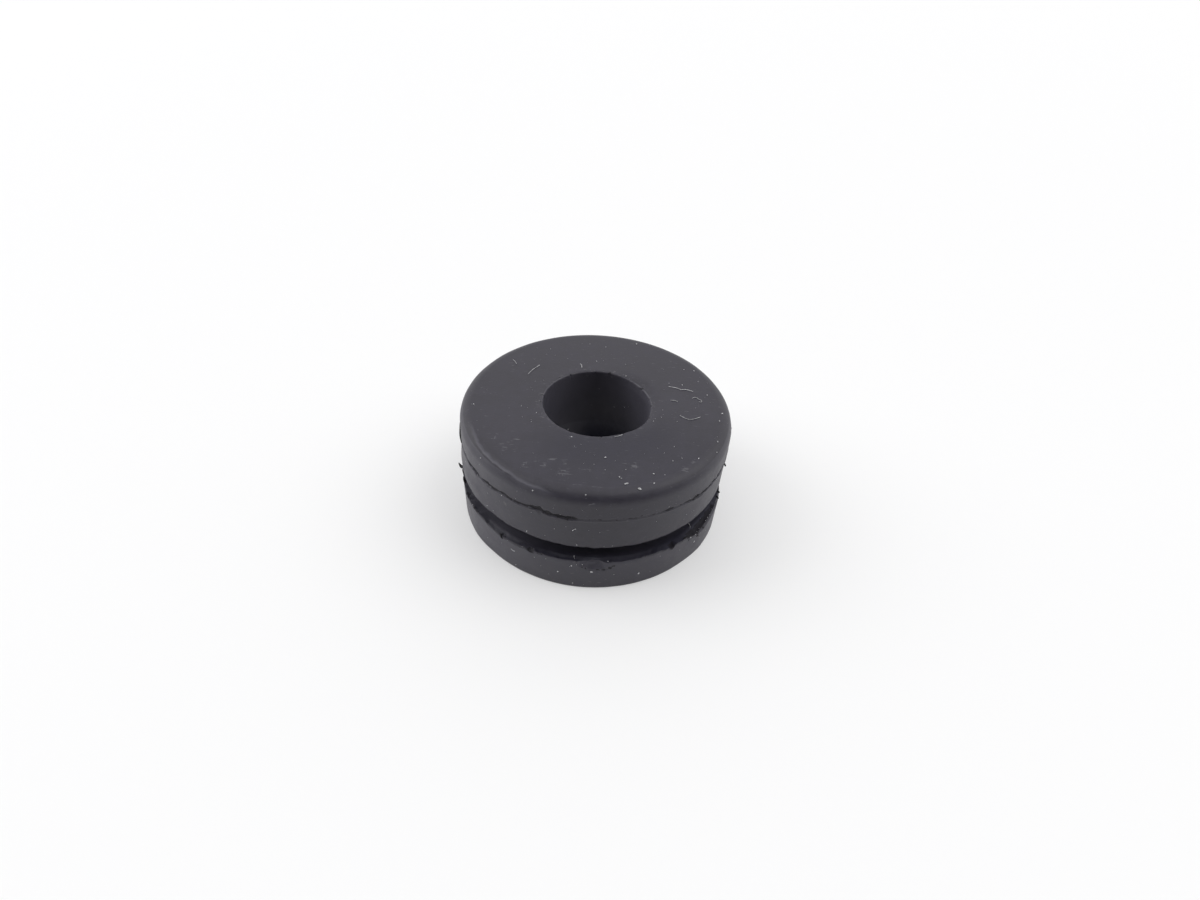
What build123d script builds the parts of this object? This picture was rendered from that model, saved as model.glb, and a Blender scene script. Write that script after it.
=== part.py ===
from build123d import *
from math import radians, sqrt, tan
import os

# Rubber radiator mount: a moulded ring with a bore and a groove for the bracket's sheet.
# It stands on its thinner flange. The origin is on the bore's axis, at the bottom face.

# Overall sizes, in millimetres
flange_diameter = 25.5
overall_height = 11.5
bore_diameter = 10.0

# Bracket groove
lower_flange_height = 3.6
groove_width = 1.8
groove_floor_diameter = 18.0
groove_root_radius = 0.35

# Moulded walls: each flange is widest at one line and drafts away from it
wall_draft = 1.0  # degrees
parting_drop = 2.65  # from the top face down to the mould's parting line
parting_bead_height = 0.12
parting_bead_width = 0.3

# Edges. The groove's lips stay sharp, as the mould leaves them.
top_edge_radius = 1.2
bottom_edge_break = 0.12
bore_rim_break = 0.2

# Chips torn out of the lower flange's upper edge: the angle round the axis in degrees, where
# +X is 0, the width along the edge, the depth down the wall and the reach inwards
edge_chips = [
    (-88.0, 3.1, 1.05, 1.06),
    (-113.4, 0.9, 0.35, 0.45),
    (-52.5, 2.6, 0.6, 0.7),
]

# Derived places
flange_radius = flange_diameter / 2
bore_radius = bore_diameter / 2
floor_radius = groove_floor_diameter / 2
groove_bottom = lower_flange_height
groove_top = groove_bottom + groove_width
parting_height = overall_height - parting_drop


def drafted_radius(distance):
    """Radius of a flange's wall at this distance from its widest line."""
    return flange_radius - distance * tan(radians(wall_draft))


lower_lip = (drafted_radius(0), groove_bottom)
lower_base = (drafted_radius(lower_flange_height), 0)
upper_lip = (drafted_radius(parting_height - groove_top), groove_top)
upper_crown = (drafted_radius(parting_drop), overall_height)
bead_radius = drafted_radius(parting_bead_width / 2)
bead_low = (bead_radius, parting_height - parting_bead_width / 2)
bead_crest = (flange_radius + parting_bead_height, parting_height)
bead_high = (bead_radius, parting_height + parting_bead_width / 2)


def circles_at(part, radius, height):
    """The part's circular edges of this radius at this height."""
    return [
        edge
        for edge in part.edges().filter_by(GeomType.CIRCLE)
        if abs(edge.radius - radius) < 1e-4 and abs(edge.center().Z - height) < 1e-4
    ]


def bite_edge(angle, width, depth, reach):
    """Take a ball's bite out of the lower flange's upper edge.

    The ball stands off the edge, outwards and upwards, so far that the bite has this width
    along the edge, this depth down the wall and this reach inwards.
    """
    half = width / 2
    out = (half**2 / reach - reach) / 2
    up = (half**2 / depth - depth) / 2
    with PolarLocations(flange_radius + out, 1, start_angle=angle):
        with Locations((0, 0, groove_bottom + up)):
            Sphere(sqrt(half**2 + out**2 + up**2), mode=Mode.SUBTRACT)


with BuildPart() as rubber_mount:
    # Lower flange, turned about the bore's axis
    with BuildSketch(Plane.XZ):
        with BuildLine():
            Polyline(
                (bore_radius, 0),
                lower_base,
                lower_lip,
                (bore_radius, groove_bottom),
                close=True,
            )
        make_face()
    revolve(axis=Axis.Z)
    chamfer(circles_at(rubber_mount, *lower_base), bottom_edge_break)
    for chip in edge_chips:
        bite_edge(*chip)

    # Neck and upper flange, with the bead that the mould's parting line leaves
    with BuildSketch(Plane.XZ):
        with BuildLine():
            Polyline(
                (bore_radius, groove_bottom),
                (floor_radius, groove_bottom),
                (floor_radius, groove_top),
                upper_lip,
                bead_low,
                bead_crest,
                bead_high,
                upper_crown,
                (bore_radius, overall_height),
                close=True,
            )
        make_face()
    revolve(axis=Axis.Z)

    fillet(circles_at(rubber_mount, *upper_crown), top_edge_radius)
    fillet(
        circles_at(rubber_mount, floor_radius, groove_bottom)
        + circles_at(rubber_mount, floor_radius, groove_top),
        groove_root_radius,
    )
    chamfer(
        circles_at(rubber_mount, bore_radius, 0)
        + circles_at(rubber_mount, bore_radius, overall_height),
        bore_rim_break,
    )

rubber_mount.part.label = "rubber_mount"

os.makedirs("parts", exist_ok=True)
export_step(rubber_mount.part, "parts/rubber_mount.step")
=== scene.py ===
from math import atan2, ceil, cos, degrees, inf, pi, radians, sin, sqrt, tan
from random import Random

import bmesh
import bpy
from mathutils import Matrix, Vector, noise
from mathutils.bvhtree import BVHTree
from mathutils.kdtree import KDTree


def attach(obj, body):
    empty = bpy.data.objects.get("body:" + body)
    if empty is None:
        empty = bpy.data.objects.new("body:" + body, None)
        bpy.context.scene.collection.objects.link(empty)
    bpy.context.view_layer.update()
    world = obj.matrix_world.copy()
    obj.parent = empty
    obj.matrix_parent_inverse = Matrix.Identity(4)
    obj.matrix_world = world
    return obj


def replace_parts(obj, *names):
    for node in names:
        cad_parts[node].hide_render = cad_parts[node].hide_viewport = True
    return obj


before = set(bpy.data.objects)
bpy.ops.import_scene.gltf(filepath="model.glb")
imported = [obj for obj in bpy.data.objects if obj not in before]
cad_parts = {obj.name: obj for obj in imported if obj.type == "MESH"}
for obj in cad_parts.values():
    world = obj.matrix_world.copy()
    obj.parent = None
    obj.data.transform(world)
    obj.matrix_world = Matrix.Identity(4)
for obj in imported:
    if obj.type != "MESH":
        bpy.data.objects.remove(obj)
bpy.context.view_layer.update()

# Meshes are worked in millimetres and brought to metres at the end. Angles round the bore's
# axis are in degrees, with +X at 0 and the side that faces the camera at -90.
MM = 0.001
UPWARDS = Vector((0, 0, 1))
SEED = 41

# The rubber's sizes
BORE_RADIUS = 5.0
FLANGE_RADIUS = 12.75
HEIGHT = 11.5
LOWER_LIP = 3.6
UPPER_LIP = 5.4
GROOVE_FLOOR = 9.0
GROOVE_ROOT = 0.35
PARTING = 8.85
CROWN_ROUNDING = 1.2
UPPER_RIM_ROUNDING = 0.16
LOWER_RIM_ROUNDING = 0.2
LIP_ROUNDING = 0.05
BASE_ROUNDING = 0.12
DRAFT = tan(radians(1.0))

# The body is spun in one wedge, which is then doubled until it goes all the way round
WEDGES = 16
WEDGE_STEPS = 33
MERGE_DISTANCE = 1e-4

# The camera: its place and aim in millimetres, and the photograph's size in pixels
CAMERA_PLACE = Vector((0.0, -52.349, 50.491))
CAMERA_AIM = Vector((0.711, 6.525, 0.0))
CAMERA_ROLL = radians(3.743)
LENS = 20.88
SENSOR = 36.0
PHOTO_WIDTH = 1200
PHOTO_HEIGHT = 900
PIXELS_PER_UNIT = LENS / SENSOR * PHOTO_WIDTH
# The nearest and the farthest that it sees, in metres
SEES_FROM = 0.001
SEES_TO = 10.0

# What the body's points carry for its finish: torn rubber with painted shade, wear, dust with painted
# light, and painted shade, each from 0 for not at all to 1 for fully
SHARES = ("torn_and_shaded", "worn", "dust_and_painted_light", "painted_shade")


# Shader maths

class Signal:
    """A number from a shader socket. Python's operators on it add Math nodes."""

    def __init__(self, sheet, socket):
        self.sheet = sheet
        self.socket = socket

    def math(self, operation, first, second):
        return self.sheet.add("Math", {"operation": operation}, [first, second])

    def __add__(self, other):
        return self.math("ADD", self, other)

    def __sub__(self, other):
        return self.math("SUBTRACT", self, other)

    def __rsub__(self, other):
        return self.math("SUBTRACT", other, self)

    def __mul__(self, other):
        return self.math("MULTIPLY", self, other)

    __radd__ = __add__
    __rmul__ = __mul__


class Sheet:
    """A node tree, with one method that adds any node."""

    def __init__(self, owner):
        owner.use_nodes = True
        self.tree = owner.node_tree
        self.tree.nodes.clear()

    def add(self, kind, settings=None, inputs=None, output=0):
        """Add a node: its settings first, then the values or links of its sockets."""
        node = self.tree.nodes.new("ShaderNode" + kind)
        for name, value in (settings or {}).items():
            setattr(node, name, value)
        inputs = inputs or {}
        for key, value in inputs.items() if isinstance(inputs, dict) else enumerate(inputs):
            if isinstance(value, Signal):
                self.tree.links.new(value.socket, node.inputs[key])
            else:
                node.inputs[key].default_value = value
        return Signal(self, node.outputs[output]) if node.outputs else node

    def noise(self, place, size, detail=3.0, roughness=0.55):
        """Noise whose features are about this many millimetres across."""
        inputs = {"Vector": place, "Scale": 1 / (size * MM), "Detail": detail, "Roughness": roughness}
        return self.add("TexNoise", inputs=inputs)

    def ease(self, value, low, high):
        """0 below low and 1 above high, with a smooth step between them."""
        inputs = {0: value, 1: low, 2: high}
        return self.add("MapRange", {"interpolation_type": "SMOOTHSTEP"}, inputs)

    def mix(self, factor, first, second):
        """One colour going over into another."""
        return self.add("Mix", {"data_type": "RGBA"}, {0: factor, 6: first, 7: second}, output=2)

    def cover(self, base, roughness, relief, depth, strength=1.0):
        """Finish a material: colour, roughness, and a relief of this depth in millimetres."""
        bumps = {"Strength": strength, "Distance": depth * MM, "Height": relief}
        normal = self.add("Bump", inputs=bumps)
        inputs = {"Base Color": base, "Roughness": roughness, "Normal": normal}
        shader = self.add("BsdfPrincipled", inputs=inputs)
        self.add("OutputMaterial", inputs={"Surface": shader})


def colour(red, green, blue):
    """A colour as a shader's socket takes it."""
    return (red, green, blue, 1.0)


def new_finish(name):
    """A new material, its sheet of nodes, and the place on the piece that it reads."""
    material = bpy.data.materials.new(name)
    sheet = Sheet(material)
    return material, sheet, sheet.add("TexCoord", output="Object")


# The moulded rubber's colours, with how strongly the patchy ones cover those before them
BARE_RUBBER = colour(0.020, 0.0176, 0.0278)
FILMED_RUBBER = colour(0.033, 0.0302, 0.0437)
# Dust, and painted light where the bore, the outer walls, the groove's inside, the crown's ridge and
# the lower edge in front are made paler
DUST_AND_PAINTED_LIGHT_RUBBER = colour(0.073, 0.07, 0.089)
RUBBED_RUBBER = colour(0.1, 0.098, 0.11)
# Painted shade: darker rubber in the groove's mouth, down the bore and on the top face in front of
# the bore
PAINTED_SHADE_RUBBER = colour(0.006, 0.006, 0.02)
# Torn rubber, with painted shade in the parting crack, the nicks and the dropped lower edge
TORN_AND_SHADED_RUBBER = colour(0.010, 0.009, 0.011)
FILM_COVER = 0.75
RUBBED_COVER = 0.8
TORN_AND_SHADED_COVER = 0.72
# The sizes of its marks, in millimetres, and how far smears and scratches are drawn out
PATCHES = 4.5
MOTTLE = 0.9
SMEARS = 0.22
SCRATCHES = 0.2
GRAIN = 0.14
SMEAR_SCALE = (0.35, 1.5, 1.0)
SCRATCH_SCALE = (1.4, 0.4, 0.8)
RUBBER_RELIEF = 0.012


def rubber_finish():
    """Moulded black rubber with a thin uneven film of dust, paler where it is rubbed, with painted
    light where it is made paler and painted shade where it is made darker.
    """
    material, sheet, place = new_finish("moulded_rubber")
    torn_and_shaded, worn, dust_and_painted_light, painted_shade = (
        sheet.add("Attribute", {"attribute_name": name}, output="Fac") for name in SHARES
    )
    patches = sheet.noise(place, PATCHES)
    mottle = sheet.noise(place, MOTTLE, detail=4.0)
    smeared = sheet.add("Mapping", inputs={"Vector": place, "Scale": SMEAR_SCALE})
    scratched = sheet.add("Mapping", inputs={"Vector": place, "Scale": SCRATCH_SCALE})
    smears = sheet.noise(smeared, SMEARS, detail=4.0)
    scratches = sheet.noise(scratched, SCRATCHES, detail=4.0)
    grain = sheet.noise(place, GRAIN)
    streaks = sheet.add("Math", {"operation": "MAXIMUM"}, [smears, scratches - 0.03])
    # Where the rubber is torn and darkened with painted shade, where the film lies, and where it is
    # rubbed pale
    tear_and_shade = sheet.ease(torn_and_shaded * (mottle * 1.6 + 0.25) + (grain - 0.5) * 1.3, 0.4, 0.6)
    film = sheet.ease(patches * 0.4 + mottle * 0.45 + grain * 0.15, 0.4, 0.62)
    rubbed = sheet.ease(streaks + worn * 0.17 + mottle * 0.1, 0.69, 0.82)
    base = sheet.mix(film * FILM_COVER, BARE_RUBBER, FILMED_RUBBER)
    # Dust, with painted light
    base = sheet.mix(dust_and_painted_light, base, DUST_AND_PAINTED_LIGHT_RUBBER)
    base = sheet.mix(rubbed * RUBBED_COVER, base, RUBBED_RUBBER)
    # Painted shade
    base = sheet.mix(painted_shade, base, PAINTED_SHADE_RUBBER)
    # Torn rubber, with painted shade
    base = sheet.mix(tear_and_shade * TORN_AND_SHADED_COVER, base, TORN_AND_SHADED_RUBBER)
    relief = grain * 0.3 + smears * 0.5 + mottle * 0.9 + torn_and_shaded * grain * 5.0
    rough = 0.45 + film * 0.1 + (grain - 0.5) * 0.1 + tear_and_shade * 0.3 + painted_shade * 0.35
    sheet.cover(base, rough, relief, RUBBER_RELIEF)
    return material


# The torn slivers: the grain's size and relief in millimetres, and its colours
SLIVER_GRAIN = 0.08
SLIVER_RELIEF = 0.02
SLIVER_DARK = colour(0.006, 0.006, 0.007)
SLIVER_PALE = colour(0.02, 0.019, 0.023)


def torn_rubber_finish():
    """The rough dark rubber of a torn edge."""
    material, sheet, place = new_finish("torn_rubber")
    grain = sheet.noise(place, SLIVER_GRAIN)
    base = sheet.mix(grain, SLIVER_DARK, SLIVER_PALE)
    sheet.cover(base, 0.75 + grain * 0.2, grain, SLIVER_RELIEF)
    return material


# The dust: sizes and relief in millimetres, and its colours
DUST_TONES = 0.7
DUST_FUZZ = 0.05
DUST_RELIEF = 0.01
DUST_GREY = colour(0.38, 0.38, 0.39)
DUST_PALE = colour(0.8, 0.8, 0.82)


def dust_finish():
    """Pale dust and lint, no two grains quite the same grey."""
    material, sheet, place = new_finish("dust_and_lint")
    tone = sheet.ease(sheet.noise(place, DUST_TONES), 0.35, 0.65)
    fuzz = sheet.noise(place, DUST_FUZZ)
    base = sheet.mix(tone, DUST_GREY, DUST_PALE)
    sheet.cover(base, 0.8 + fuzz * 0.15, fuzz, DUST_RELIEF, strength=0.6)
    return material


# The rubber body

def wall(height, widest):
    """A drafted wall's radius at this height, where widest is the height of its widest line."""
    return FLANGE_RADIUS - abs(height - widest) * DRAFT


# Half of the section, from the bore's top rim outwards and down: radius, height, and the
# rounding of that corner with its number of steps. Points with no rounding only change how
# close the rings are.
SECTION = [
    (BORE_RADIUS, HEIGHT, UPPER_RIM_ROUNDING, 4),
    (6.2, HEIGHT, 0, 0),
    (wall(HEIGHT, PARTING), HEIGHT, CROWN_ROUNDING, 24),
    (wall(9.3, PARTING), 9.3, 0, 0),
    (FLANGE_RADIUS, PARTING, 0, 0),
    (wall(8.4, PARTING), 8.4, 0, 0),
    (wall(6.2, PARTING), 6.2, 0, 0),
    (wall(UPPER_LIP, PARTING), UPPER_LIP, LIP_ROUNDING, 2),
    (11.2, UPPER_LIP, 0, 0),
    (GROOVE_FLOOR, UPPER_LIP, GROOVE_ROOT, 4),
    (GROOVE_FLOOR, LOWER_LIP, GROOVE_ROOT, 4),
    (11.2, LOWER_LIP, 0, 0),
    (FLANGE_RADIUS, LOWER_LIP, LIP_ROUNDING, 2),
    (wall(2.0, LOWER_LIP), 2.0, 0, 0),
    (wall(0, LOWER_LIP), 0, BASE_ROUNDING, 3),
    (BORE_RADIUS, 0, LOWER_RIM_ROUNDING, 3),
    (BORE_RADIUS, 9.0, 0, 0),
]

# A zone of the section is its inner and outer radius, and its lowest and highest place. These
# are how far apart the body's rings are, with the zone where that holds. The first that fits
# a place counts.
RING_SPACINGS = [
    (0.06, (12.6, inf, 8.4, 9.3)),  # the torn parting line
    (0.13, (12.6, inf, 2.0, 6.2)),  # both lips of the groove
    (0.24, (12.6, inf, -inf, inf)),  # the rest of the outer walls
    (0.15, (11.2, inf, -inf, 6.0)),  # the groove's mouth
    (0.3, (-inf, 6.2, 9.0, inf)),  # the bore's upper end
    (0.5, (-inf, inf, 3.0, inf)),
    (0.9, (-inf, inf, -inf, inf)),
]


def inside(zone, radius, height):
    """Whether this place of the section lies in this zone."""
    inner, outer, lowest, highest = zone
    return inner < radius < outer and lowest < height < highest


def ring_spacing(radius, height):
    """How far apart the body's rings are there: close where the moulding is torn."""
    return next(spacing for spacing, zone in RING_SPACINGS if inside(zone, radius, height))


def turned_body():
    """The section, spun round the bore's axis."""
    body = bmesh.new()
    corners = [body.verts.new((radius, 0, height)) for radius, height, _, _ in SECTION]
    for first, second in zip(corners, corners[1:] + corners[:1]):
        body.edges.new((first, second))
    for corner, (_, _, rounding, steps) in zip(corners, SECTION):
        if rounding:
            bmesh.ops.bevel(
                body, geom=[corner], offset=rounding, offset_type="OFFSET", segments=steps,
                profile=0.5, affect="VERTICES", material=-1,
            )
    for edge in body.edges[:]:
        middle = (edge.verts[0].co + edge.verts[1].co) / 2
        cuts = ceil(edge.calc_length() / ring_spacing(middle.x, middle.z) - 0.01) - 1
        if cuts > 0:
            bmesh.ops.subdivide_edges(body, edges=[edge], cuts=cuts)
    bmesh.ops.spin(
        body, geom=body.verts[:] + body.edges[:], cent=(0, 0, 0), axis=(0, 0, 1),
        dvec=(0, 0, 0), angle=2 * pi / WEDGES, steps=WEDGE_STEPS, use_duplicate=False,
    )
    wedges = 1
    while wedges < WEDGES:
        copied = bmesh.ops.duplicate(body, geom=body.verts[:] + body.edges[:] + body.faces[:])
        verts = [item for item in copied["geom"] if isinstance(item, bmesh.types.BMVert)]
        turn = Matrix.Rotation(2 * pi * wedges / WEDGES, 3, "Z")
        bmesh.ops.rotate(body, cent=(0, 0, 0), matrix=turn, verts=verts)
        wedges *= 2
    bmesh.ops.remove_doubles(body, verts=body.verts, dist=MERGE_DISTANCE)
    bmesh.ops.recalc_face_normals(body, faces=body.faces)
    return body


# How the mould's parting line wanders: angle, and millimetres below the top face
PARTING_DROPS = [
    (-165, 2.75), (-152, 2.8), (-134, 2.79), (-126, 2.5), (-118, 2.66), (-110, 2.44),
    (-105, 2.68), (-97, 2.63), (-86, 2.55), (-73, 2.63), (-58, 2.71), (-52, 2.79),
    (-44, 3.06), (-33, 2.96), (-15, 2.8), (30, 2.6), (75, 2.7), (120, 2.6), (160, 2.7),
]
# How ragged the flash on that line is: angle, and 0 for smooth, 1 for torn, more for the worst
FLASH_RAGS = [
    (-170, 0.6), (-158, 0.6), (-147, 0.7), (-143, 1.7), (-140, 0.6), (-134, 1.3), (-130, 0.8),
    (-122, 0.6), (-114, 0.7), (-109, 1.6), (-104, 0.7), (-100, 1.7), (-97, 1.2), (-94, 0.2),
    (-64, 0.12), (-59, 0.5), (-55, 0.25), (-49, 0.7), (-43, 1.4), (-38, 0.9), (-22, 0.7),
    (-8, 0.5), (20, 0.2), (60, 0.6), (95, 0.25), (130, 0.8), (165, 0.5),
]
# How far the lower flange's upper edge lies below its true height: angle, and millimetres
EDGE_DROPS = [
    (-160, 0.0), (-140, 0.0), (-133, 0.2), (-122, 0.16), (-108, -0.1), (-80, 0.0), (-71, 0.0),
    (-60, 0.0), (-56, 0.12), (-53.6, 0.36), (-52.6, 0.38), (-52, 0.08), (-46, 0.12), (-41, 0.6),
    (-35, 0.7), (-29, 0.4), (-20, 0.2), (-5, 0.0), (60, 0.05), (100, 0.0),
]
# Stretches round the axis: the angle in the middle, the half width in degrees, and how steeply
# the stretch fades at its ends
FRONT = (-88, 30, 1.6)
LEFT_WALL = (-157, 25, 1.5)
RIGHT_WALL = (-25, 22, 1.5)
LEFT_CROWN = (-132, 32, 2.2)
LEFT_MOUTH = (-150, 50, 1.5)
RIGHT_MOUTH = (-28, 50, 2.0)
TOP_IN_FRONT = (-75, 75, 1.5)
RIGHT_RIM = (5, 75, 1.5)
# Zones of the section: inner and outer radius, lowest and highest place
BORE_WALL = (-inf, BORE_RADIUS + 0.05, -inf, inf)
BORE_RIM = (-inf, 6.2, 10.5, inf)
CROWN = (FLANGE_RADIUS - 2 * CROWN_ROUNDING, inf, HEIGHT - CROWN_ROUNDING, inf)
OUTER_WALLS = (12.3, inf, -inf, inf)
DUST_AND_PAINTED_LIGHT_WALLS = (12.4, inf, -inf, inf)
UPPER_WALL = (12.3, inf, 6.5, inf)
LOWER_WALL = (12.3, inf, -inf, 3.3)
UPPER_LIP_ZONE = (11.6, inf, 5.3, 6.4)
UPPER_LIP_CORNER = (12.4, inf, 5.3, 6.4)
GROOVE_AND_EDGE = (-inf, inf, LOWER_LIP - 0.2, UPPER_LIP)
GROOVE = (-inf, 12.72, 3.5, 5.5)
LOWER_EDGE = (12.2, inf, 1.6, 3.7)


def along(table, angle):
    """The value that a table of (angle, value) has at this angle, with straight runs."""
    first, last = table[0], table[-1]
    if angle < first[0] or angle >= last[0]:
        span = first[0] + 360 - last[0]
        share = ((angle - last[0]) % 360) / span
        return last[1] + (first[1] - last[1]) * share
    for (start, value), (end, following) in zip(table, table[1:]):
        if start <= angle < end:
            return value + (following - value) * (angle - start) / (end - start)


def smooth(share):
    """0 below 0 and 1 above 1, with a smooth step between them."""
    share = min(max(share, 0.0), 1.0)
    return share * share * (3 - 2 * share)


def ramp(value, start, end):
    """0 at the start and 1 at the end, with a smooth step between them."""
    return smooth((value - start) / (end - start))


def hill(distance, half_width):
    """1 at no distance, falling straight to 0 at the half width."""
    return max(0.0, 1 - abs(distance) / half_width)


def rough_noise(place, size, seed=0.0):
    """Noise from -1 to 1, with features of about this many millimetres."""
    return noise.noise(place / size + Vector((seed, seed * 1.7, -seed)))


class Spot:
    """A point of the true shape: how far the real moulding has it off its place, and its shares of
    torn rubber with painted shade, wear, dust with painted light, and painted shade there."""

    def __init__(self, place):
        self.place = place
        self.radius = place.xy.length
        self.height = place.z
        self.angle = degrees(atan2(place.y, place.x))
        self.outwards = self.upwards = 0.0
        self.torn_and_shaded = self.worn = self.dust_and_painted_light = self.painted_shade = 0.0

    def noise(self, size, seed=0):
        """Noise from -1 to 1 there, with features of about this many millimetres."""
        return rough_noise(self.place, size, seed)

    def inside(self, zone):
        """Whether it lies in this zone of the section."""
        return inside(zone, self.radius, self.height)

    def within(self, stretch):
        """1 in the middle of a stretch round the axis, and 0 outside it."""
        middle, half_width, steepness = stretch
        return smooth(steepness * hill(self.angle - middle, half_width))

    def tear_and_shade(self, share):
        """Make its share of torn rubber and painted shade at least this."""
        self.torn_and_shaded = max(self.torn_and_shaded, share)

    def moved(self):
        """Where it lies on the real moulding."""
        ray = Vector((self.place.x, self.place.y, 0)).normalized()
        return self.place + ray * self.outwards + UPWARDS * self.upwards


# How pale the bore's sides and upper end are painted, as painted light, and how pale the outer walls
# away from the front are, with dust and painted light, with what the lower wall has on top
BORE_SIDES_PAINTED_LIGHT = 1.1
BORE_TOP_PAINTED_LIGHT = 0.35
LEFT_DUST_AND_PAINTED_LIGHT = 0.6
RIGHT_DUST_AND_PAINTED_LIGHT = 0.5
LOWER_WALL_DUST_AND_PAINTED_LIGHT = 0.3


def dust_film_and_painted_light(spot):
    """Painted light makes the bore's sides and upper end paler, and dust with painted light the outer
    walls, least of all in front.
    """
    if spot.inside(BORE_WALL):
        sideways = abs(cos(radians(spot.angle))) ** 1.2
        # Painted light: the bore's sides and upper end made paler
        spot.dust_and_painted_light = BORE_SIDES_PAINTED_LIGHT * sideways + BORE_TOP_PAINTED_LIGHT * ramp(spot.height, 6.5, 10.5)
    elif spot.inside(DUST_AND_PAINTED_LIGHT_WALLS) and not spot.inside(GROOVE_AND_EDGE):
        away_from_front = smooth(abs((spot.angle + 80) / 70)) if spot.angle < 0 else 1.0
        on_right = -80 <= spot.angle <= 90
        # Dust with painted light: the outer walls made paler, least of all in front
        spot.dust_and_painted_light = away_from_front * (RIGHT_DUST_AND_PAINTED_LIGHT if on_right else LEFT_DUST_AND_PAINTED_LIGHT)
        if spot.height < LOWER_LIP:
            spot.dust_and_painted_light += LOWER_WALL_DUST_AND_PAINTED_LIGHT


# How far the upper flange leans to the right and the lower walls bulge, in millimetres, and the
# height and the size of the outer walls' waves
LEAN = 0.06
LEFT_BULGE = 0.13
RIGHT_BULGE = 0.15
WAVES = ((0.022, 3.0), (0.008, 0.8))


def lean_and_bulges(spot):
    """The upper flange leans a little, the lower walls bulge, and no outer wall is quite even."""
    leaning = LEAN * ramp(spot.height, 6.5, 9.5) * ramp(spot.radius, 9.5, 11.0)
    spot.outwards += leaning * cos(radians(spot.angle))
    if spot.inside(OUTER_WALLS):
        spot.outwards += LEFT_BULGE * spot.within(LEFT_WALL) * ramp(spot.height, 7.8, 6.3)
        for height, size in WAVES:
            spot.outwards += height * spot.noise(size)
    if spot.inside(LOWER_WALL):
        spot.outwards += RIGHT_BULGE * spot.within(RIGHT_WALL)


# The torn parting line, in millimetres: how far up and down it pulls the wall with it, then the
# lip below it and the crack along it, each with what it gains where the flash is ragged. A
# crack wider than the last value is torn only in part.
LINE_PULL = 1.25
LIP_BELOW = 0.2
LIP_HALF_WIDTH = 0.1
LIP_HEIGHT = 0.02
LIP_RAGS = 0.07
CRACK_DEPTH = 0.012
CRACK_DEPTH_RAGS = 0.1
CRACK_HALF_WIDTH = 0.08
CRACK_WIDTH_RAGS = 0.15
WIDEST_TORN_CRACK = 0.3


def parting_line(spot):
    """The parting line wanders. Along it runs a torn crack, darkened with painted shade, with a
    ragged lip below.
    """
    if not spot.inside(UPPER_WALL):
        return
    above = spot.height - PARTING
    drop = along(PARTING_DROPS, spot.angle)
    rags = along(FLASH_RAGS, spot.angle)
    spot.upwards += (HEIGHT - PARTING - drop) * ramp(abs(above), LINE_PULL, 0)
    ragged = max(0.0, 0.45 + spot.noise(0.9, 3) + 0.7 * spot.noise(0.3, 5))
    lip = (LIP_HEIGHT + LIP_RAGS * rags * ragged) * hill(above + LIP_BELOW, LIP_HALF_WIDTH)
    wander = 0.06 * spot.noise(0.8, 15) + 0.05 * spot.noise(0.33, 17)
    breadth = CRACK_HALF_WIDTH + rags * (CRACK_WIDTH_RAGS + 0.27 * spot.noise(0.4, 16))
    breadth = max(0.06, breadth)
    crack = hill(above + wander, breadth)
    spot.outwards += lip - (CRACK_DEPTH + CRACK_DEPTH_RAGS * rags) * smooth(1.8 * crack)
    patchy = min(1.0, 0.3 + 0.75 * rags + 0.6 * spot.noise(0.8, 8)) + 0.5 * spot.noise(0.3, 19)
    # Torn rubber with painted shade along the crack
    spot.tear_and_shade(smooth(1.5 * crack) * patchy * min(1.0, WIDEST_TORN_CRACK / breadth))


# The ridge along the crown: an angle, how far round the crown's rounding it lies there, in radians,
# how that grows with each degree, its height in millimetres, and how strong its painted highlight is
RIDGE_FROM = -150
RIDGE_TURN = 0.42
RIDGE_DRIFT = 0.012
RIDGE_HEIGHT = 0.07
RIDGE_PAINTED_HIGHLIGHT = 0.8


def crown_ridge(spot):
    """A faint ridge runs along the crown on the left, with a painted highlight along it."""
    if not spot.inside(CROWN):
        return
    centre_radius = wall(HEIGHT, PARTING) - CROWN_ROUNDING
    centre_height = HEIGHT - CROWN_ROUNDING
    turn = atan2(max(spot.radius - centre_radius, 0.0), spot.height - centre_height)
    ridge_turn = RIDGE_TURN + RIDGE_DRIFT * (spot.angle - RIDGE_FROM)
    ridge_turn += 0.13 * spot.noise(1.3) + 0.07 * spot.noise(0.5, 18)
    side = spot.within(LEFT_CROWN)
    # Painted highlight along the ridge
    spot.dust_and_painted_light += RIDGE_PAINTED_HIGHLIGHT * side * smooth(hill(turn - ridge_turn, 0.2))
    ridge = RIDGE_HEIGHT * side * smooth(hill(turn - ridge_turn - 0.06, 0.22))
    ridge += 0.01 * spot.noise(1.7, 2)
    spot.outwards += ridge * sin(turn)
    spot.upwards += ridge * cos(turn)


# Where the painted shade at the groove's mouth starts on the right, how much farther out it starts on
# the left, and how far it takes to reach full painted shade
MOUTH_FROM = 10.9
LEFT_MOUTH_OUTWARDS = 0.6
MOUTH_FADE = 1.4


def groove_mouth(spot):
    """The groove is made paler inside with painted light, and darker at its mouth with painted shade,
    darkest on the right.
    """
    if not spot.inside(GROOVE):
        return
    right, left, front = (spot.within(side) for side in (RIGHT_MOUTH, LEFT_MOUTH, FRONT))
    mouth = smooth((spot.radius - MOUTH_FROM - LEFT_MOUTH_OUTWARDS * left) / MOUTH_FADE)
    # Painted shade at the groove's mouth
    spot.painted_shade = (0.15 + 0.7 * right + 0.4 * left + 0.4 * front) * mouth
    # Painted light: the groove's inside made paler
    spot.dust_and_painted_light += (0.9 + 0.4 * left - 0.3 * right) * (1 - mouth)


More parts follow.
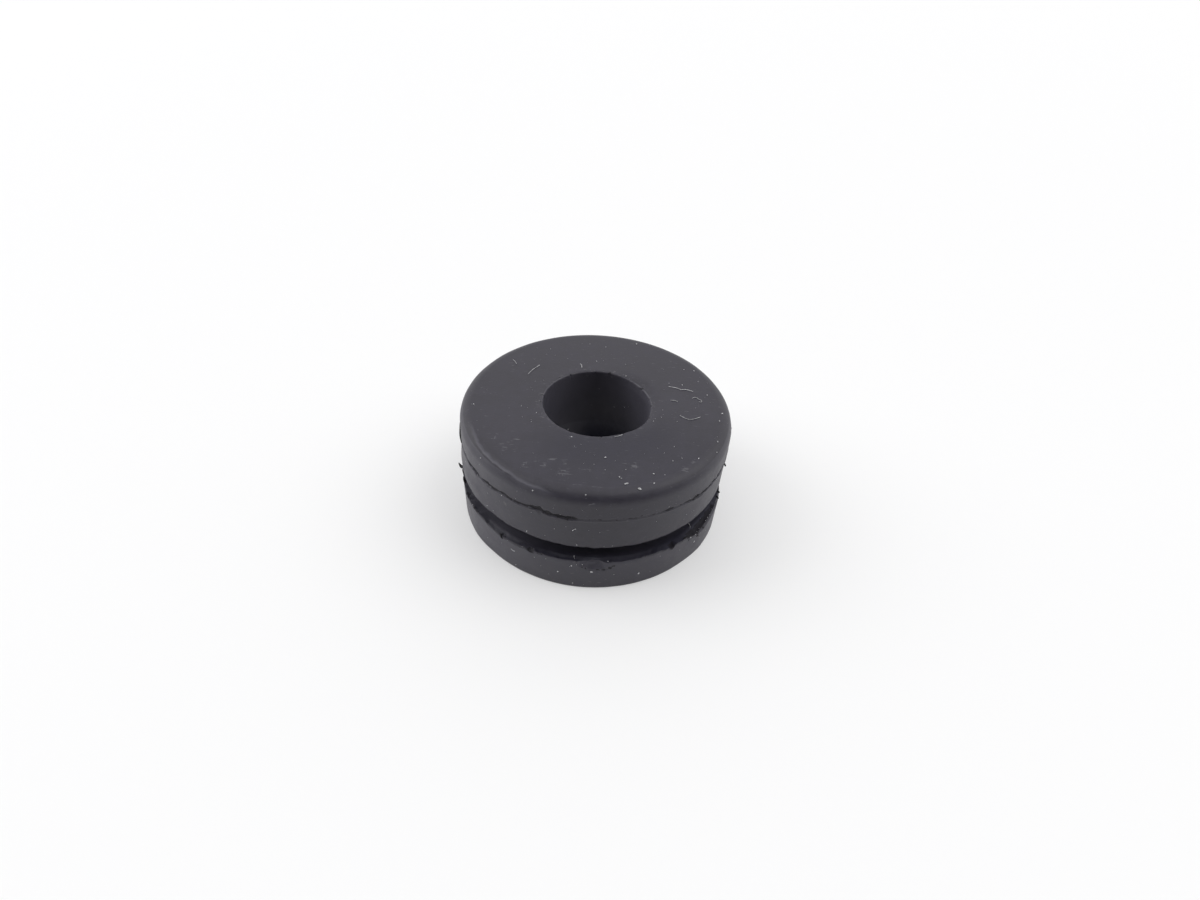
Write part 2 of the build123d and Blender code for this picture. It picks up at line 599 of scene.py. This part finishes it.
def shaded_rubber(spot):
    """Painted shade: the bore darker towards its far end, and the top face a little darker in front
    of the bore.
    """
    if spot.inside(BORE_WALL):
        spot.painted_shade = ramp(spot.height, 7.5, 3.0) * smooth(1 + 1.3 * cos(radians(spot.angle)))
    elif spot.height == HEIGHT:
        spot.painted_shade = 0.3 * spot.within(TOP_IN_FRONT) * (1 - 0.5 * ramp(spot.radius, 7, 10))


# The lower flange's upper edge, in millimetres: its half width, how far it is worn back and
# down in front, and how ragged it is elsewhere
EDGE_HALF_WIDTH = 0.4
EDGE_WORN_BACK = 0.06
EDGE_WORN_DOWN = 0.14
EDGE_RAGS_DOWN = 0.16
EDGE_RAGS_OUT = 0.05


def lower_flange_edge(spot):
    """The lower flange's upper edge is uneven and ragged, and worn back in front, with painted light
    on that edge in front and painted shade where it drops.
    """
    if not spot.inside(LOWER_EDGE):
        return
    share = ramp(spot.radius, 12.2, 12.65) * ramp(spot.height, 1.6, 3.5)
    drop = along(EDGE_DROPS, spot.angle) + 0.07 * spot.noise(0.9, 4)
    spot.upwards -= drop * share
    # Painted shade where the edge drops
    if spot.height > 3.5:
        spot.tear_and_shade(0.8 * smooth(4 * (drop - 0.1)) * smooth(3 * share))
    if spot.inside(OUTER_WALLS):
        front = spot.within(FRONT)
        edge = hill(spot.height - LOWER_LIP, EDGE_HALF_WIDTH)
        ragged = spot.noise(0.45, 11)
        spot.outwards -= EDGE_WORN_BACK * front * edge
        spot.upwards -= EDGE_WORN_DOWN * front * edge
        spot.upwards -= EDGE_RAGS_DOWN * edge * max(0.0, ragged)
        spot.outwards += EDGE_RAGS_OUT * edge * spot.noise(0.4, 12)
        spot.tear_and_shade(smooth(2 * edge) * (0.15 + 0.7 * ragged) * (1 - front))
        # Painted light on the edge in front
        if spot.height < 3.58:
            spot.dust_and_painted_light += 0.5 * front * edge


def upper_flange_lip(spot):
    """The upper flange's lower lip is a little uneven, most at its outer corner."""
    if not spot.inside(UPPER_LIP_ZONE):
        return
    share = ramp(spot.radius, 11.6, 12.6) * ramp(spot.height, 6.4, 5.5)
    spot.upwards += 0.05 * spot.noise(0.9, 6) * share
    if spot.inside(UPPER_LIP_CORNER):
        spot.upwards += 0.05 * spot.noise(0.35, 13) * share
        spot.outwards += 0.03 * spot.noise(0.4, 7) * share


# The bore's upper rim, in millimetres: how far its wear reaches, how far it is worn back and
# down on the right, and how deep its nicks are
RIM_REACH = 1.1
RIM_WORN_BACK = 0.16
RIM_WORN_DOWN = 0.2
RIM_NICKS = 0.08


def bore_rim(spot):
    """The bore's upper rim is softer on the right, and has little nicks all round."""
    if not spot.inside(BORE_RIM):
        return
    from_rim = sqrt((spot.radius - BORE_RADIUS) ** 2 + (HEIGHT - spot.height) ** 2)
    near = hill(from_rim, RIM_REACH)
    soft = spot.within(RIGHT_RIM)
    nick = smooth(2.5 * (spot.noise(0.35, 21) - 0.2)) * smooth(2.5 * (near - 0.6))
    spot.outwards += RIM_WORN_BACK * soft * near + 0.03 * spot.noise(0.8, 9) * near
    spot.outwards += RIM_NICKS * nick
    spot.upwards -= RIM_WORN_DOWN * soft * near
    spot.worn = 0.5 * near
    # Torn rubber with painted shade in the nicks
    spot.tear_and_shade(0.8 * nick)


# Every mark on the moulding, in the order in which they are made. The film of dust and painted light
# comes first, because later marks add to it.
MARKS = (
    dust_film_and_painted_light, lean_and_bulges, parting_line, crown_ridge, groove_mouth, shaded_rubber,
    lower_flange_edge, upper_flange_lip, bore_rim,
)


def at(angle, radius, height):
    """The point at this angle, radius and height."""
    turn = radians(angle)
    return Vector((radius * cos(turn), radius * sin(turn), height))


# Chips out of the lower flange's upper edge: angle, width, depth down and reach inwards
EDGE_CHIPS = [
    (-88.0, 3.1, 1.05, 0.6), (-84.6, 0.6, 0.5, 0.3), (-92.2, 0.5, 0.4, 0.2),
    (-113.4, 0.8, 0.35, 0.3), (64.0, 1.4, 0.4, 0.4), (148.0, 0.9, 0.3, 0.25),
]
# Gouges in the outer walls: angle, height over the base, ball size and depth
GOUGES = [
    (-107.0, 8.9, 0.3, 0.1), (-98.6, 8.84, 0.3, 0.1), (-143.0, 8.7, 0.3, 0.1),
    (118.0, 8.85, 0.4, 0.1), (123.0, 8.8, 0.3, 0.08), (-128.5, 3.4, 0.2, 0.14),
    (-127.9, 3.15, 0.16, 0.1), (-92.0, 2.9, 0.15, 0.1), (-90.9, 2.76, 0.13, 0.08),
    (-85.6, 2.56, 0.14, 0.1), (-83.4, 2.6, 0.18, 0.12), (-82.2, 2.5, 0.12, 0.08),
    (-80.8, 2.78, 0.18, 0.12), (-79.4, 2.98, 0.13, 0.09), (-119.0, 3.3, 0.14, 0.09),
    (-108.5, 3.55, 0.16, 0.1), (-66.0, 3.5, 0.14, 0.1), (-43.5, 2.85, 0.16, 0.1),
    (-37.5, 2.5, 0.18, 0.12), (-33.0, 2.7, 0.14, 0.1),
]
# Small random nicks along both lips and the parting line: how many, and their ball sizes
NICKS = 130
NICK_SIZES = (0.1, 0.18)
# The heights of each flange, which keep a bite from reaching across the groove
LOWER_SIDE = (0.0, 4.4)
UPPER_SIDE = (4.6, HEIGHT)
# The lines that the random nicks lie on, with most of them on the lower flange's edge
NICKED_LINES = [(LOWER_LIP, LOWER_SIDE)] * 3 + [(UPPER_LIP, UPPER_SIDE), (PARTING, UPPER_SIDE)]
# A ball over this size leaves a dusty chip, and a smaller one leaves torn rubber with painted shade
# in the nick: how torn and shaded each leaves it, and how much dustier
CHIP_BALL = 1.0
CHIP_SHARES = (0.05, 0.3)
NICK_SHARES = (0.6, 0.0)


def edge_bite(angle, width, depth, reach):
    """The ball that takes a chip of this size out of the lower flange's upper edge, with the
    heights between which it bites."""
    half = width / 2
    out = (half**2 / reach - reach) / 2
    up = (half**2 / depth - depth) / 2
    ball = sqrt(half**2 + out**2 + up**2)
    return at(angle, FLANGE_RADIUS + out, LOWER_LIP + up), ball, *LOWER_SIDE


def bites(dice):
    """Every ball that tears a little rubber away: centre, size, and lowest and highest place."""
    found = [edge_bite(*chip) for chip in EDGE_CHIPS]
    for angle, height, ball, depth in GOUGES:
        side = UPPER_SIDE if height > UPPER_SIDE[0] else LOWER_SIDE
        found.append((at(angle, FLANGE_RADIUS + ball - depth, height), ball, *side))
    for _ in range(NICKS):
        angle = dice.uniform(-180, 180)
        ball = dice.uniform(*NICK_SIZES)
        line, side = dice.choice(NICKED_LINES)
        out = ball * dice.uniform(0.5, 0.9)
        up = dice.uniform(-0.1, 0.1)
        found.append((at(angle, FLANGE_RADIUS + out, line + up), ball, *side))
    return found


def tree_of(body):
    """The body's points, ready to be found by place."""
    tree = KDTree(len(body.verts))
    for number, vert in enumerate(body.verts):
        tree.insert(vert.co, number)
    tree.balance()
    return tree


def mould(body):
    """Give the true shape the lean, lines, ridges and wear of the real moulding, with its shares of
    dust, painted light and painted shade.
    """
    layers = {name: body.verts.layers.float.new(name) for name in SHARES}
    for vert in body.verts:
        spot = Spot(vert.co.copy())
        for mark in MARKS:
            mark(spot)
        vert.co = spot.moved()
        for name, layer in layers.items():
            vert[layer] = getattr(spot, name)
    body.verts.ensure_lookup_table()


def bite(body, dice):
    """Tear the chips, gouges and nicks out of the moulding, and keep it between its end faces."""
    torn_and_shaded, dust_and_painted_light = (body.verts.layers.float[name] for name in ("torn_and_shaded", "dust_and_painted_light"))
    tree = tree_of(body)
    for centre, ball, lowest, highest in bites(dice):
        torn_and_shaded_share, dust = CHIP_SHARES if ball > CHIP_BALL else NICK_SHARES
        for _, number, _ in tree.find_range(centre, ball * 1.1):
            vert = body.verts[number]
            ragged = rough_noise(vert.co, 0.5, 1) + 0.7 * rough_noise(vert.co, 0.2, 2)
            size = ball + min(0.2 * ball, 0.1) * ragged
            offset = vert.co - centre
            if lowest <= vert.co.z < highest and offset.length < size:
                vert.co = centre + offset.normalized() * size
                # Torn rubber with painted shade in the nicks
                vert[torn_and_shaded] = max(vert[torn_and_shaded], torn_and_shaded_share)
                vert[dust_and_painted_light] += dust
    for vert in body.verts:
        vert.co.z = min(max(vert.co.z, 0.0), HEIGHT)


def new_object(name, data):
    """An object in the scene that holds this mesh, curve, lamp or camera."""
    item = bpy.data.objects.new(name, data)
    bpy.context.scene.collection.objects.link(item)
    return item


def finished(bm, name, finish):
    """Bring a mesh to metres and make it a piece of the object."""
    bmesh.ops.scale(bm, vec=(MM, MM, MM), verts=bm.verts)
    mesh = bpy.data.meshes.new(name)
    for face in bm.faces:
        face.smooth = True
    bm.to_mesh(mesh)
    bm.free()
    return piece(mesh, name, finish)


def piece(mesh, name, finish):
    """A mesh as a piece that rides on the part's one body."""
    for vert in mesh.vertices:
        vert.co.z = max(vert.co.z, 0.0)
    item = new_object(name, mesh)
    mesh.materials.clear()
    mesh.materials.append(finish)
    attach(item, "root")
    return item


# The camera's rays

def camera_axes():
    """The camera's right, up and forward directions."""
    forward = (CAMERA_AIM - CAMERA_PLACE).normalized()
    level = forward.cross(UPWARDS).normalized()
    above = level.cross(forward)
    right = level * cos(CAMERA_ROLL) + above * sin(CAMERA_ROLL)
    up = above * cos(CAMERA_ROLL) - level * sin(CAMERA_ROLL)
    return right, up, forward


def photo_ray(x, y):
    """The direction in which the camera sees this pixel of the photograph."""
    right, up, forward = camera_axes()
    across = (x - PHOTO_WIDTH / 2) / PIXELS_PER_UNIT
    down = (y - PHOTO_HEIGHT / 2) / PIXELS_PER_UNIT
    return (forward + right * across - up * down).normalized()


def seen_at(surface, pixel):
    """The point of the body at this pixel, and the way out of it there."""
    place, outwards, _, _ = surface.ray_cast(CAMERA_PLACE, photo_ray(*pixel))
    return place, outwards


# Dust, lint and slivers

# Flecks of dust: x and y in the photograph's pixels, and size in millimetres
FLECKS = [
    (473.7, 404.2, 0.1), (521.3, 405.9, 0.09), (536.4, 412.7, 0.08), (531.3, 421.7, 0.07),
    (567.9, 429.2, 0.14), (550.7, 349.0, 0.08), (590.0, 344.0, 0.06), (596.6, 361.3, 0.08),
    (636.6, 344.2, 0.16), (605.8, 347.0, 0.07), (625.7, 364.4, 0.08), (625.9, 376.1, 0.13),
    (684.0, 369.7, 0.1), (693.9, 371.0, 0.1), (682.3, 385.0, 0.1), (669.0, 383.3, 0.07),
    (707.1, 395.2, 0.1), (698.2, 381.7, 0.06), (722.1, 413.7, 0.15), (719.4, 421.2, 0.13),
    (677.2, 421.7, 0.07), (653.3, 421.2, 0.08), (655.3, 418.5, 0.06), (480.8, 457.9, 0.14),
    (532.7, 490.4, 0.12), (585.7, 495.0, 0.12), (605.3, 457.6, 0.14), (594.0, 464.2, 0.07),
    (605.3, 469.8, 0.08), (625.9, 469.6, 0.07), (619.6, 477.2, 0.14), (621.4, 478.4, 0.1),
    (625.3, 484.3, 0.16), (627.3, 483.4, 0.14), (639.7, 489.0, 0.24), (653.8, 474.1, 0.14),
    (654.1, 483.3, 0.12), (672.9, 460.9, 0.1), (682.1, 458.3, 0.09), (698.7, 458.6, 0.11),
    (717.6, 441.7, 0.12), (716.8, 452.4, 0.09), (674.2, 446.8, 0.08), (665.0, 474.9, 0.07),
    (526.7, 531.0, 0.1), (576.7, 544.8, 0.12), (487.4, 505.5, 0.1), (501.7, 495.3, 0.07),
    (571.3, 565.7, 0.11), (582.3, 564.5, 0.09), (557.7, 571.3, 0.12), (591.5, 571.6, 0.22),
    (638.5, 573.2, 0.16), (690.5, 537.4, 0.13), (693.9, 541.5, 0.14), (614.0, 574.5, 0.07),
    (607.9, 561.4, 0.08), (572.7, 582.9, 0.1), (516.0, 564.5, 0.09), (571.6, 436.8, 0.09),
    (471.5, 500.0, 0.06), (472.5, 505.0, 0.07), (474.5, 510.0, 0.06), (470.5, 503.5, 0.05),
    (707.5, 517.5, 0.07), (709.5, 514.5, 0.06), (705.5, 520.5, 0.06), (711.5, 509.0, 0.05),
    (697.0, 531.5, 0.07), (695.5, 534.5, 0.08), (699.0, 528.5, 0.06), (700.5, 533.0, 0.06),
]
FLECK_SCALE = 1.12
# Lint fibres, each along these pixels
FIBRES = [
    [(668.6, 386.8), (676.7, 387.9), (680.8, 390.2), (685.9, 389.4), (693.0, 392.0)],
    [(679.8, 415.9), (685.4, 419.0), (692.0, 420.5), (700.2, 417.4)],
    [(692.0, 398.6), (695.1, 397.0), (699.0, 399.8), (701.9, 400.6), (701.4, 403.2), (698.8, 402.0)],
    [(670.6, 400.6), (674.0, 400.4), (677.8, 402.1)],
    [(528.3, 374.0), (532.9, 369.5), (537.4, 367.0), (539.5, 365.4)],
    [(513.0, 360.0), (515.2, 361.2), (516.5, 364.0)],
    [(572.4, 530.4), (573.8, 528.8), (576.0, 528.6)],
    [(511.0, 548.2), (512.8, 550.4), (515.0, 551.0)],
    [(551.6, 584.0), (554.0, 581.6), (556.0, 580.6)],
    [(574.2, 555.6), (573.8, 557.4), (574.6, 559.2)],
    [(688.6, 523.8), (690.0, 525.4), (690.4, 527.4)],
    [(580.5, 364.0), (582.6, 366.4), (581.6, 368.0)],
    [(614.5, 437.2), (618.5, 436.4), (622.5, 435.2)],
]
# Pale scuffs: x and y in the photograph's pixels, and size in millimetres
SCUFFS = [
    (513.5, 440.0, 0.5), (500.2, 444.3, 0.35), (514.0, 451.0, 0.35), (525.2, 463.2, 0.45),
    (534.9, 462.7, 0.4), (552.8, 459.0, 0.5), (564.0, 463.2, 0.4), (560.0, 471.5, 0.6),
    (566.0, 473.0, 0.6), (634.0, 466.0, 0.6), (496.0, 437.0, 0.4), (507.0, 447.0, 0.4),
    (567.5, 490.0, 0.35), (470.5, 506.0, 0.5), (472.0, 512.0, 0.4), (544.0, 466.0, 0.5),
    (588.0, 470.0, 0.5), (685.0, 470.0, 0.5), (693.0, 462.0, 0.4), (571.0, 436.6, 0.35),
    (505.0, 503.0, 0.4), (584.0, 566.5, 0.18), (586.5, 568.3, 0.18), (589.0, 570.0, 0.2),
]
# The angles of the side that the camera doesn't see, and of the side that it sees
HIDDEN_SIDE = (-8, 188)
SEEN_SIDE = (-165, -15)
ALL_ROUND = (0, 360)


def mark_scuffs(body, surface):
    """Wear the rubber pale at the scuffs."""
    layer = body.verts.layers.float["worn"]
    tree = tree_of(body)
    for x, y, size in SCUFFS:
        place, _ = seen_at(surface, (x, y))
        if place is None:
            continue
        for _, number, distance in tree.find_range(place, size):
            vert = body.verts[number]
            vert[layer] = max(vert[layer], smooth(1.4 * (1 - distance / size)))


def spot_on_wall(surface, dice, side):
    """A random point of the outer wall or the groove on this side, and the way out of it."""
    angle = dice.uniform(*side)
    start = at(angle, FLANGE_RADIUS + 5, dice.uniform(0.4, 10.8))
    return surface.ray_cast(start, -at(angle, 1, 0))[:2]


def spot_on_top(surface, dice, side):
    """A random point of the top face on this side, and the way out of it."""
    start = at(dice.uniform(*side), dice.uniform(5.5, 12.3), HEIGHT + 5)
    return surface.ray_cast(start, -UPWARDS)[:2]


def spot_in_bore(surface, dice, side):
    """A random point of the bore's wall on this side, and the way out of it."""
    start = at(0, 0, dice.uniform(3, 10))
    return surface.ray_cast(start, at(dice.uniform(*side), 1, 0))[:2]


# The dust that isn't placed by hand: how it finds its spots, on which side, how many grains,
# and their smallest and largest size
SCATTERED_DUST = [
    (spot_on_wall, HIDDEN_SIDE, 110, 0.05, 0.13),
    (spot_on_wall, SEEN_SIDE, 90, 0.04, 0.06),
    (spot_on_top, ALL_ROUND, 60, 0.03, 0.05),
    (spot_in_bore, ALL_ROUND, 12, 0.04, 0.08),
]


def add_grain(grains, place, outwards, size, dice):
    """Lay one flattened grain of dust on the rubber."""
    start = len(grains.verts)
    bmesh.ops.create_icosphere(grains, subdivisions=1, radius=0.5)
    grains.verts.ensure_lookup_table()
    made = grains.verts[start:]
    long = size * dice.uniform(1.0, 1.4)
    wide = size * dice.uniform(0.7, 1.0)
    thick = size * 0.5
    upright = outwards.to_track_quat("Z", "X").to_matrix().to_4x4()
    turned = Matrix.Rotation(dice.uniform(0, 2 * pi), 4, "Z")
    lift = Matrix.Translation(place + outwards * thick * 0.3)
    for vert in made:
        vert.co *= dice.uniform(0.75, 1.2)
    shape = lift @ upright @ turned @ Matrix.Diagonal((long, wide, thick, 1))
    bmesh.ops.transform(grains, matrix=shape, verts=made)


def dust_flecks(surface, finish, dice):
    """The dust that lies on the rubber."""
    grains = bmesh.new()
    for x, y, size in FLECKS:
        place, outwards = seen_at(surface, (x, y))
        if place is not None:
            add_grain(grains, place, outwards, size * FLECK_SCALE, dice)
    for find_spot, side, count, smallest, largest in SCATTERED_DUST:
        for _ in range(count):
            place, outwards = find_spot(surface, dice, side)
            add_grain(grains, place, outwards, dice.uniform(smallest, largest), dice)
    return finished(grains, "dust_flecks", finish)


def strands(name, lines, thickness, finish):
    """Thin round strands along smooth lines. Each point comes with its share of the thickness."""
    curve = bpy.data.curves.new(name, "CURVE")
    curve.dimensions = "3D"
    curve.bevel_depth = thickness / 2 * MM
    curve.bevel_resolution = 1
    curve.use_fill_caps = True
    for line in lines:
        spline = curve.splines.new("NURBS")
        spline.points.add(len(line) - 1)
        for point, (place, share) in zip(spline.points, line):
            point.co = (*(place * MM), 1)
            point.radius = share
        spline.order_u = 3
        spline.use_endpoint_u = True
        spline.resolution_u = 5
    holder = new_object(name, curve)
    ready = holder.evaluated_get(bpy.context.evaluated_depsgraph_get())
    mesh = bpy.data.meshes.new_from_object(ready)
    bpy.data.objects.remove(holder)
    bpy.data.curves.remove(curve)
    mesh.name = name
    mesh.shade_smooth()
    return piece(mesh, name, finish)


# Lint, in millimetres: its thickness, and how far off the rubber the points of the seen and of
# the random fibres lie. Then the random ones: how many, with how many points, and how far and
# through how many radians each goes on from the point before.
FIBRE_THICKNESS = 0.045
SEEN_FIBRE_GAPS = (0.015, 0.06)
FIBRE_GAPS = (0.015, 0.05)
RANDOM_FIBRES = 9
FIBRE_POINTS = 4
FIBRE_STEPS = (0.1, 0.24)
FIBRE_BENDS = (-0.9, 0.9)


def lint(surface, finish, dice):
    """Lint on the rubber: the fibres that the camera sees, and others all round."""
    lines = []
    for fibre in FIBRES:
        line = []
        for pixel in fibre:
            place, outwards = seen_at(surface, pixel)
            if place is not None:
                line.append((place + outwards * dice.uniform(*SEEN_FIBRE_GAPS), 1.0))
        if len(line) > 2:
            lines.append(line)
    for _ in range(RANDOM_FIBRES):
        spot, outwards = spot_on_wall(surface, dice, HIDDEN_SIDE)
        heading = outwards.orthogonal()
        heading.rotate(Matrix.Rotation(dice.uniform(0, 2 * pi), 3, outwards))
        line = []
        for _ in range(FIBRE_POINTS):
            near, way_out, _, _ = surface.find_nearest(spot)
            line.append((near + way_out * dice.uniform(*FIBRE_GAPS), 1.0))
            heading.rotate(Matrix.Rotation(dice.uniform(*FIBRE_BENDS), 3, way_out))
            spot = near + heading * dice.uniform(*FIBRE_STEPS)
        lines.append(line)
    return strands("lint_fibres", lines, FIBRE_THICKNESS, finish)


# Slivers of rubber that still hang from torn edges. Each is a line of points: angle, radius,
# height, and a share of the slivers' thickness.
SLIVERS = [
    [(-17, 12.7, 8.7, 0.4), (-13, 12.77, 8.74, 0.6), (-9, 12.78, 8.72, 0.4), (-5, 12.78, 8.8, 0.6),
     (-1, 12.7, 8.85, 0.3)],
    [(-15.5, 12.7, 7.75, 0.6), (-15.5, 12.82, 7.65, 0.6), (-15.2, 12.88, 7.42, 0.6)],
    [(-163, 12.7, 8.72, 0.5), (-167, 12.77, 8.75, 0.7), (-172, 12.77, 8.8, 0.5),
     (-176, 12.77, 8.95, 0.7), (-179, 12.7, 9.05, 0.4)],
    [(-163.5, 12.6, 5.55, 0.8), (-165, 12.78, 5.3, 1.0), (-166, 12.92, 5.16, 1.3),
     (-166.4, 13.02, 5.22, 1.1), (-167, 13.16, 5.5, 0.3)],
    [(-164, 12.6, 5.5, 0.9), (-164.6, 12.76, 5.2, 0.9), (-164.8, 12.82, 4.85, 0.8),
     (-164.4, 12.8, 4.55, 0.5)],
    [(-163, 12.7, 3.35, 0.9), (-164.4, 12.78, 3.6, 1.0), (-165, 12.84, 3.85, 0.8),
     (-164.6, 12.86, 4.15, 0.3)],
    [(-16, 12.7, 3.5, 0.8), (-15.5, 12.85, 3.35, 0.8), (-15, 12.9, 3.1, 0.4)],
    [(-13, 12.68, 3.6, 0.8), (-12.5, 12.84, 3.5, 0.8), (-12, 12.88, 3.25, 0.4)],
    [(-128.8, 12.68, 3.5, 0.6), (-128.4, 12.72, 3.3, 0.7), (-128.0, 12.72, 3.1, 0.6),
     (-127.4, 12.68, 2.95, 0.3)],
    [(-47, 12.68, 3.5, 0.6), (-46, 12.8, 3.66, 0.7), (-44.5, 12.82, 3.7, 0.3)],
    [(115, 12.6, 5.45, 0.8), (116, 12.84, 5.25, 0.7), (117.5, 12.86, 5.05, 0.3)],
    [(38, 12.6, 8.85, 0.6), (39.5, 12.84, 8.8, 0.6), (41, 12.8, 8.72, 0.2)],
]
SLIVER_THICKNESS = 0.26


def torn_slivers():
    """The slivers that still hang from torn edges."""
    lines = [[(at(*place), share) for *place, share in line] for line in SLIVERS]
    return strands("torn_slivers", lines, SLIVER_THICKNESS, torn_rubber_finish())


# The studio, in metres
WHITE = colour(1.0, 1.0, 1.0)
# Its dark side: the way it faces, how far out its edge runs as a share of its radius, and how
# bright it is
CARD_FACES = Vector((0, -0.866, -0.5))
CARD_EDGE = 0.05
CARD_RADIUS = 4.0
CARD_LIGHT = 0.1
# The floor: its half width, how far it lies below the part, and the share of even white that
# what looks at it sees near the part. That share grows to all white between two distances.
FLOOR_COLOUR = colour(0.88, 0.88, 0.885)
FLOOR_SIZE = 3.0
FLOOR_DROP = 0.02 * MM
FLOOR_WHITE = 0.3
WHITENS_FROM = 0.12
WHITENS_TO = 0.8
FLOOR_RAYS = ("Is Camera Ray", "Is Glossy Ray", "Is Transmission Ray")


def studio_world():
    """An even bright studio all round."""
    world = bpy.data.worlds.new("studio")
    bpy.context.scene.world = world
    sheet = Sheet(world)
    shader = sheet.add("Background", inputs={"Color": WHITE, "Strength": 1.0})
    sheet.add("OutputWorld", inputs={"Surface": shader})


def studio_piece(bm, name, finish):
    """A mesh in metres as a piece of the studio."""
    mesh = bpy.data.meshes.new(name)
    bm.to_mesh(mesh)
    bm.free()
    mesh.materials.append(finish)
    return new_object(name, mesh)


def dark_card():
    """The dark side of the studio, behind the camera: part of a big sphere that stands on the
    floor's level. Only its reflection and its shade are seen."""
    material = bpy.data.materials.new("dark_card")
    sheet = Sheet(material)
    shader = sheet.add("Emission", inputs={"Color": WHITE, "Strength": CARD_LIGHT})
    sheet.add("OutputMaterial", inputs={"Surface": shader})
    bm = bmesh.new()
    bmesh.ops.create_uvsphere(bm, u_segments=64, v_segments=32, radius=CARD_RADIUS)
    for place, keeps in ((CARD_FACES * CARD_RADIUS * CARD_EDGE, CARD_FACES), (Vector(), UPWARDS)):
        bmesh.ops.bisect_plane(
            bm, geom=bm.verts[:] + bm.edges[:] + bm.faces[:], plane_co=place, plane_no=keeps,
            clear_inner=True,
        )
    card = studio_piece(bm, "dark_card", material)
    card.visible_camera = False


def pale_floor():
    """The plain pale floor that the part stands on. What looks at it sees part of it as an even
    white, which keeps the part's shadow soft. Far from the part it is all white, like the
    surroundings."""
    material, sheet, place = new_finish("pale_floor")
    inputs = {"Base Color": FLOOR_COLOUR, "Roughness": 0.7, "Specular IOR Level": 0.2}
    shader = sheet.add("BsdfPrincipled", inputs=inputs)
    white = sheet.add("Emission", inputs={"Color": WHITE, "Strength": 1.0})
    rays = [sheet.add("LightPath", output=name) for name in FLOOR_RAYS]
    distance = sheet.add("VectorMath", {"operation": "LENGTH"}, [place], output=1)
    far = sheet.ease(distance, WHITENS_FROM, WHITENS_TO)
    share = sum(rays, 0.0) * (far * (1 - FLOOR_WHITE) + FLOOR_WHITE)
    surface = sheet.add("MixShader", inputs=[share, shader, white])
    sheet.add("OutputMaterial", inputs={"Surface": surface})
    bm = bmesh.new()
    bmesh.ops.create_grid(bm, x_segments=1, y_segments=1, size=FLOOR_SIZE)
    bmesh.ops.translate(bm, vec=(0, 0, -FLOOR_DROP), verts=bm.verts)
    floor = studio_piece(bm, "floor", material)


def lamp(name, azimuth, elevation, distance, size, power):
    """A round softbox that faces the part. It takes degrees, metres and watts."""
    light = bpy.data.lights.new(name, "AREA")
    light.shape = "DISK"
    light.size = size
    light.energy = power
    item = new_object(name, light)
    turn, rise = radians(azimuth), radians(elevation)
    way = Vector((cos(turn) * cos(rise), sin(turn) * cos(rise), sin(rise)))
    item.location = way * distance
    item.rotation_euler = way.to_track_quat("Z", "Y").to_euler()


def add_camera():
    """The camera, where the photograph was taken from."""
    data = bpy.data.cameras.new("camera")
    data.lens = LENS
    data.sensor_width = SENSOR
    data.clip_start = SEES_FROM
    data.clip_end = SEES_TO
    item = new_object("camera", data)
    right, up, forward = camera_axes()
    turn = Matrix((right, up, -forward)).transposed().to_4x4()
    item.matrix_world = Matrix.Translation(CAMERA_PLACE * MM) @ turn
    bpy.context.scene.camera = item


rubber = rubber_finish()
dust = dust_finish()
dice = Random(SEED)

body = turned_body()
mould(body)
bite(body, dice)
surface = BVHTree.FromBMesh(body)
mark_scuffs(body, surface)
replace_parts(finished(body, "rubber_body", rubber), "rubber_mount")

torn_slivers()
dust_flecks(surface, dust, dice)
lint(surface, dust, dice)

pale_floor()
studio_world()
dark_card()
lamp("left_softbox", azimuth=176, elevation=36, distance=2.0, size=1.5, power=11.7)
lamp("right_softbox", azimuth=0, elevation=52, distance=2.0, size=1.8, power=9.8)
add_camera()
bpy.context.scene.view_settings.view_transform = "Standard"
